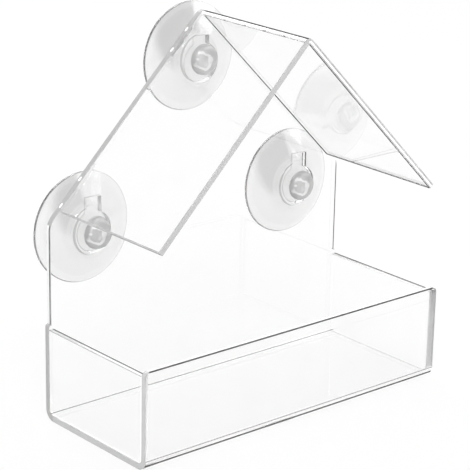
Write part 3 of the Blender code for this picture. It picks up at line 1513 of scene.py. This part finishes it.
@dataclass
class EndPanel:
    """One flat panel that closes an end of the tray."""

    WORKS: ClassVar[dict[Side, PanelWorks]] = {
        Side.LEFT: PanelWorks(EdgeWork.FLAMED_DARK_INSIDE, EdgeWork.LIT, EdgeWork.CEMENTED),
        Side.RIGHT: PanelWorks(EdgeWork.FLAMED_GREY_FLAT, EdgeWork.SATIN, EdgeWork.OUTLINED_OUTSIDE),
    }

    shop: SheetShop
    side: Side
    joint_gap: float = 0.0003
    corner_radius: float = 0.0017

    @property
    def node(self) -> str:
        """The CAD node that the panel stands for."""
        return f"{self.side.name.lower()}_side_panel"

    def _edge_work(self, middle: Vector, facing: Vector) -> EdgeWork:
        """Return how the outline is worked at a place.

        Args:
            middle: The middle of a stretch of edge, which makes no difference here.
            facing: The direction that it faces.

        Returns:
            The work of the panel's top, floor or front, or cemented at its back.
        """
        works = self.WORKS[self.side]
        if abs(facing.y) > LEANING:
            return works.top if facing.y > 0 else works.floor
        return works.front if facing.x < 0 else EdgeWork.CEMENTED

    def build(self) -> bpy.types.Object:
        """Make the piece.

        Returns:
            The finished piece, drawn out to a thin cement line at its three joints.
        """
        low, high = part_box(self.node)
        grow = self.joint_gap - self.shop.stock.cement_line
        front, back, floor = low.y - grow, high.y + grow, low.z - grow
        radius = self.corner_radius + grow
        corners = [(front, floor, radius), (back, floor, radius), (back, high.z, 0), (front, high.z, 0)]
        outline = rounded_outline(corners, self.shop.stock.corner_steps)
        place = Matrix(((0, 0, 1, low.x), (1, 0, 0, 0), (0, 1, 0, 0), (0, 0, 0, 1)))
        return self.shop.make(f"acrylic_{self.node}", Blank(outline, self._edge_work), place)


@dataclass
class FoldedRoof:
    """The roof: one sheet folded at the ridge, its back edge cemented to the gable."""

    shop: SheetShop
    fold_inner_radius: float = 0.0004
    pitch: float = math.radians(45)
    peak_height: float = 0.1563
    half_span: float = 0.0705
    joint_gap: float = 0.0003
    seam_width: float = 0.0012
    eave_line: float = 0.0008
    soft_eave_share: float = 0.5
    lines: tuple[BendLine, ...] = (
        BendLine(0.32, 0.85, SheetSide.OUTER),
        BendLine(0.10, 0.90, SheetSide.INNER, Surface.ARRIS),
    )

    @staticmethod
    def _edge_work(middle: Vector, facing: Vector, ridge: float, soft_eave: float) -> EdgeWork:
        """Return how the edge is worked at a place.

        Args:
            middle: The middle of a stretch of edge.
            facing: The direction that it faces.
            ridge: How far along the blank the ridge lies.
            soft_eave: How far back the left eave's sharp stretch goes.

        Returns:
            Cemented at the back. Clear with sharp corners at the right eave, and sawn at the left eave,
            sharply at its front. At the front, flamed right of the ridge and sawn dull left of it.
        """
        if facing.x > LEANING:
            return EdgeWork.CEMENTED
        if facing.y > LEANING:
            return EdgeWork.CLEAR_SHARP
        if facing.y < -LEANING:
            return EdgeWork.SAWN_SHARP if middle.x < soft_eave else EdgeWork.SAWN
        return EdgeWork.FLAMED_GREY_OUTSIDE if middle.y > ridge else EdgeWork.SAWN_DULL

    def build(self) -> bpy.types.Object:
        """Make the piece.

        Returns:
            The finished piece.
        """
        low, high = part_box("roof_sheet")
        stock = self.shop.stock
        depth = high.y - low.y + self.joint_gap - stock.cement_line
        slope_length = self.half_span / math.cos(self.pitch)
        fold_angle = 2 * self.pitch
        setback = (self.fold_inner_radius + stock.thickness) * math.tan(fold_angle / 2)
        start = slope_length - setback
        fold = Bend(start, self.fold_inner_radius, fold_angle, self.lines)
        length = 2 * fold.start + fold.length(stock.thickness)
        ridge = length / 2
        soft_eave = depth * (1 - self.soft_eave_share)
        corners = ((0, 0), (soft_eave, 0), (depth, 0), (depth, length), (0, length), (0, ridge))
        outline = [Vector(corner) for corner in corners]
        rise, run = math.sin(self.pitch), math.cos(self.pitch)
        eave_height = self.peak_height - slope_length * rise
        place = Matrix((
            (0, run, rise, -self.half_span),
            (1, 0, 0, low.y),
            (0, rise, -run, eave_height),
            (0, 0, 0, 1),
        ))
        back, eave = depth - stock.arris, length - stock.arris
        seam = Stripe((back - self.seam_width, back), (length - start, eave), SheetSide.INNER)
        eave_line = Stripe((stock.arris, back), (eave - self.eave_line, eave), SheetSide.INNER)
        edge_work = partial(self._edge_work, ridge=ridge, soft_eave=soft_eave)
        blank = Blank(outline, edge_work, bends=(fold,), stripes=(seam, eave_line))
        return self.shop.make("acrylic_roof", blank, place)


@dataclass(frozen=True)
class CupShape:
    """The sizes of one suction cup, and how finely it is turned."""

    radius: float = 0.0225
    height: float = 0.0073
    lip_thickness: float = 0.0007
    rim_width: float = 0.0012
    hollow_depth: float = 0.0040
    seat_radius: float = 0.0095
    seat_round: float = 0.0005
    flare_power: float = 0.8
    neck_radius: float = 0.0031
    neck_length: float = 0.0031
    head_radius: float = 0.0063
    head_thickness: float = 0.0036
    head_underside_round: float = 0.0009
    head_face_radius: float = 0.0039
    head_dimple_radius: float = 0.0026
    head_dimple_depth: float = 0.0006
    dome_steps: int = 10
    flare_steps: int = 24
    hollow_steps: int = 20
    dimple_steps: int = 5
    round_steps: int = 4
    crease_angle: float = math.radians(40)
    segments: int = 96

    def head_profile(self) -> list[tuple[float, float]]:
        """Draw the mushroom head, from the middle of its dimpled face to the neck.

        Returns:
            The radius and the distance towards the pane of each point, in order.
        """
        face = -self.neck_length - self.head_thickness
        widest = -self.neck_length - self.head_underside_round
        profile = []
        for step in range(self.dimple_steps + 1):
            share = step / self.dimple_steps
            rise = self.head_dimple_depth * (1 - share ** 2)
            profile.append((self.head_dimple_radius * share, face + rise))
        for step in range(1, self.dome_steps + 1):
            angle = QUARTER_TURN * step / self.dome_steps
            radius = self.head_face_radius + (self.head_radius - self.head_face_radius) * math.sin(angle)
            profile.append((radius, widest + (face - widest) * math.cos(angle)))
        for step in range(1, self.round_steps):
            angle = QUARTER_TURN * step / self.round_steps
            radius = self.head_radius - self.head_underside_round * (1 - math.cos(angle))
            profile.append((radius, widest + self.head_underside_round * math.sin(angle)))
        profile.append((self.head_radius - self.head_underside_round, -self.neck_length))
        profile.append((self.neck_radius, -self.neck_length))
        return profile

    def cup_profile(self) -> list[tuple[float, float]]:
        """Draw the flared cup, from the neck out to the lip and back to the middle.

        Returns:
            The radius and the distance towards the pane of each point, in order.
        """
        profile = [(self.neck_radius, 0), (self.seat_radius - self.seat_round, 0)]
        for step in range(self.flare_steps + 1):
            share = step / self.flare_steps
            radius = self.seat_radius + (self.radius - self.seat_radius) * share
            profile.append((radius, (self.height - self.lip_thickness) * share ** self.flare_power))
        profile.append((self.radius, self.height))
        hollow_radius = self.radius - self.rim_width
        for step in range(self.hollow_steps + 1):
            share = 1 - step / self.hollow_steps
            profile.append((hollow_radius * share, self.height - self.hollow_depth * (1 - share ** 2)))
        return profile


class SuctionCup:
    """One soft cup, its neck through a keyhole and its hollow side to the pane."""

    def __init__(self, node: str, shape: CupShape, turner: Turner, flow_mark: FlowMark) -> None:
        """Find the cup's place in the frame.

        Args:
            node: The CAD node that the cup stands for.
            shape: The cup's sizes.
            turner: The tool that turns it.
            flow_mark: Its smoky mark.
        """
        self.node = node
        self.shape = shape
        self.turner = turner
        self.flow_mark = flow_mark
        low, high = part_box(node)
        seat_y = high.y - shape.height
        self.centre = Vector(((low.x + high.x) / 2, seat_y, (low.z + high.z) / 2))

    def build(self) -> bpy.types.Object:
        """Make the piece.

        Returns:
            The finished piece.
        """
        profile = self.shape.head_profile() + self.shape.cup_profile()
        mesh = bpy.data.meshes.new(self.node)
        edges = [(index, index + 1) for index in range(len(profile) - 1)]
        mesh.from_pydata([(radius, 0, rise) for radius, rise in profile], edges, [])
        piece = new_object(f"vinyl_{self.node}", mesh)
        finish = SoftVinyl(f"vinyl_{self.node}", self.centre[:], self.shape, self.flow_mark)
        values = {"Segments": self.shape.segments, "Weld": WELD_DISTANCE, "Finish": finish.build()}
        self.turner.apply(piece, values)
        towards_pane = Matrix.Rotation(-QUARTER_TURN, 4, "X")
        piece.data.transform(Matrix.Translation(self.centre) @ towards_pane)
        self._close(piece.data)
        return piece

    def _close(self, mesh: bpy.types.Mesh) -> None:
        """Turn a mesh's faces outwards and smooth it.

        Args:
            mesh: The turned cup.
        """
        turned = bmesh.new()
        turned.from_mesh(mesh)
        bmesh.ops.dissolve_degenerate(turned, dist=WELD_DISTANCE, edges=turned.edges)
        bmesh.ops.recalc_face_normals(turned, faces=turned.faces)
        turned.to_mesh(mesh)
        turned.free()
        mesh.shade_smooth()
        mesh.set_sharp_from_angle(angle=self.shape.crease_angle)


@dataclass(frozen=True)
class PhotoCamera:
    """The camera that took the photograph, solved from the feeder's edges."""

    azimuth: float = math.radians(-40.6303)
    elevation: float = math.radians(18.5786)
    roll: float = math.radians(1.1508)
    place: Triple = (-0.482556, -0.554217, 0.316502)
    focal_pixels: float = 1953.789
    image_pixels: float = 470
    sensor: float = 36
    nearest: float = 0.01
    farthest: float = 50

    def build(self) -> None:
        """Make the camera and set it as the scene's."""
        level = math.cos(self.elevation)
        back = Vector((
            math.sin(self.azimuth) * level,
            -math.cos(self.azimuth) * level,
            math.sin(self.elevation),
        ))
        right = Vector((math.cos(self.azimuth), math.sin(self.azimuth), 0))
        up = back.cross(right)
        rolled_right = math.cos(self.roll) * right + math.sin(self.roll) * up
        rolled_up = math.cos(self.roll) * up - math.sin(self.roll) * right
        turned = Matrix((rolled_right, rolled_up, back)).transposed().to_4x4()
        data = bpy.data.cameras.new("photo_camera")
        data.sensor_width = self.sensor
        data.lens = self.focal_pixels * self.sensor / self.image_pixels
        data.clip_start = self.nearest
        data.clip_end = self.farthest
        camera = new_object("photo_camera", data)
        camera.matrix_world = Matrix.Translation(self.place) @ turned
        bpy.context.scene.camera = camera


@dataclass(frozen=True)
class Softbox:
    """One soft lamp."""

    name: str
    place: Triple
    width: float
    height: float
    power: float
    target: Triple = (0, 0, 0.07)

    def build(self) -> None:
        """Make the lamp."""
        data = bpy.data.lights.new(self.name, "AREA")
        data.shape = "RECTANGLE"
        data.size = self.width
        data.size_y = self.height
        data.energy = self.power
        lamp = new_object(self.name, data)
        direction = Vector(self.target) - Vector(self.place)
        turned = direction.to_track_quat("-Z", "Y").to_matrix().to_4x4()
        lamp.matrix_world = Matrix.Translation(self.place) @ turned


@dataclass
class Studio:
    """A white floor, soft lamps, and a white surround that darkens overhead and behind the camera."""

    floor_size: float = 12
    floor_drop: float = 0.0002
    floor_colour: float = 0.86
    floor_glow_share: float = 0.88
    surround_light: float = 0.55
    white_up_to: float = math.sin(math.radians(36))
    dark_from: float = math.sin(math.radians(62))
    overhead_light: float = 0.30
    card_direction: Triple = (0.15, -0.90, 0.40)
    card_outer: float = math.cos(math.radians(36))
    card_inner: float = math.cos(math.radians(20))
    card_light: float = 0.15
    bounces: int = 64
    diffuse_bounces: int = 16
    lamps: tuple[Softbox, ...] = (
        Softbox("key", (-0.7, -0.9, 1.2), 0.7, 0.7, 14),
        Softbox("fill", (1.1, -0.5, 0.8), 0.9, 0.9, 7),
        Softbox("rim", (0.2, 1.2, 1.0), 0.9, 0.6, 7),
    )

    def build(self) -> None:
        """Make the studio."""
        self._floor()
        self._surround()
        for lamp in self.lamps:
            lamp.build()
        scene = bpy.context.scene
        scene.view_settings.view_transform = "Standard"
        scene.cycles.max_bounces = self.bounces
        scene.cycles.transmission_bounces = self.bounces
        scene.cycles.glossy_bounces = self.bounces
        scene.cycles.diffuse_bounces = self.diffuse_bounces

    @staticmethod
    def _ray_kinds(tree: Tree) -> tuple[Socket, Socket]:
        """Tell rays apart.

        Args:
            tree: The tree of a material or of the world.

        Returns:
            1 for rays that come straight or through glass, and 1 for those that come by a mirror.
        """
        paths = tree.node("ShaderNodeLightPath")
        names = ("Is Camera Ray", "Is Transmission Ray", "Is Glossy Ray")
        straight, refracted, mirrored = (Socket(tree, paths.outputs[name]) for name in names)
        through = (straight + refracted).at_most(1)
        return through, mirrored * (1 - through)

    def _floor(self) -> None:
        """Make the floor: white where it is seen, with the object's soft shadow on it."""
        half, level = self.floor_size / 2, -self.floor_drop
        corners = [(-half, -half, level), (half, -half, level), (half, half, level), (-half, half, level)]
        mesh = bpy.data.meshes.new("studio_floor")
        mesh.from_pydata(corners, [], [range(len(corners))])
        floor = new_object("studio_floor", mesh)
        material = bpy.data.materials.new("studio_floor")
        tree = Tree.of(material)
        through, mirrored = self._ray_kinds(tree)
        diffuse = tree.output("ShaderNodeBsdfDiffuse", None, {"Color": grey(self.floor_colour)})
        glow = tree.output("ShaderNodeEmission", None, {"Color": WHITE, "Strength": 1})
        seen = (through + mirrored) * self.floor_glow_share
        tree.node("ShaderNodeOutputMaterial", None, {"Surface": tree.blend(seen, diffuse, glow)})
        mesh.materials.append(material)

    def _surround(self) -> None:
        """Make the world: white where it is seen, shaded where it is mirrored, and plain to the rest."""
        world = bpy.data.worlds.new("studio")
        bpy.context.scene.world = world
        tree = Tree.of(world)
        through, mirrored = self._ray_kinds(tree)
        direction = tree.output("ShaderNodeTexCoord", name="Generated")
        _, _, upwards = tree.split(direction)
        ceiling = upwards.ramp(self.white_up_to, self.dark_from, 1, self.overhead_light)
        towards_card = Vector(self.card_direction).normalized()[:]
        facing = tree.vector("DOT_PRODUCT", direction, towards_card, name="Value")
        card = facing.ramp(self.card_outer, self.card_inner, 1, self.card_light)
        strength = through + mirrored * ceiling * card + (1 - through - mirrored) * self.surround_light
        background = tree.output("ShaderNodeBackground", None, {"Color": WHITE, "Strength": strength})
        tree.node("ShaderNodeOutputWorld", None, {"Surface": background})


@dataclass
class Feeder:
    """The whole feeder."""

    stock: SheetStock = field(default_factory=SheetStock)
    cup_shape: CupShape = field(default_factory=CupShape)
    flow_marks: tuple[tuple[str, FlowMark], ...] = (
        ("top", FlowMark(left=0.637, right=0.484)),
        ("left", FlowMark(left=0.585, right=0.518)),
        ("right", FlowMark(left=0.637, right=0.518)),
    )

    def build(self) -> None:
        """Build every piece, put it on its body and name what it stands for."""
        shop = SheetShop(self.stock)
        self._seat(FeederBody(shop).build(), "feeder", "body_sheet", Slot.ACRYLIC)
        for side in Side:
            panel = EndPanel(shop, side)
            self._seat(panel.build(), "feeder", panel.node, Slot.ACRYLIC)
        self._seat(FoldedRoof(shop).build(), "feeder", "roof_sheet", Slot.ACRYLIC)
        turner = Turner()
        for place, flow_mark in self.flow_marks:
            cup = SuctionCup(f"{place}_suction_cup", self.cup_shape, turner, flow_mark)
            self._seat(cup.build(), f"{place}_cup", cup.node, Slot.VINYL)

    @staticmethod
    def _seat(piece: bpy.types.Object, body: str, node: str, slot: Slot) -> None:
        """Hand a finished piece to the frame.

        Args:
            piece: The piece.
            body: The CAD body that it rides on.
            node: The CAD node that it stands for.
            slot: The record's material slot.
        """
        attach(piece, body)
        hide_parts(node)
        log.info("%s: %d vertices, on %s", piece.name, len(piece.data.vertices), body)


def main() -> None:
    """Build the feeder, the camera and the studio."""
    logging.basicConfig(level=logging.INFO, format="%(name)s: %(message)s")
    Feeder().build()
    PhotoCamera().build()
    Studio().build()


if __name__ == "__main__":
    main()
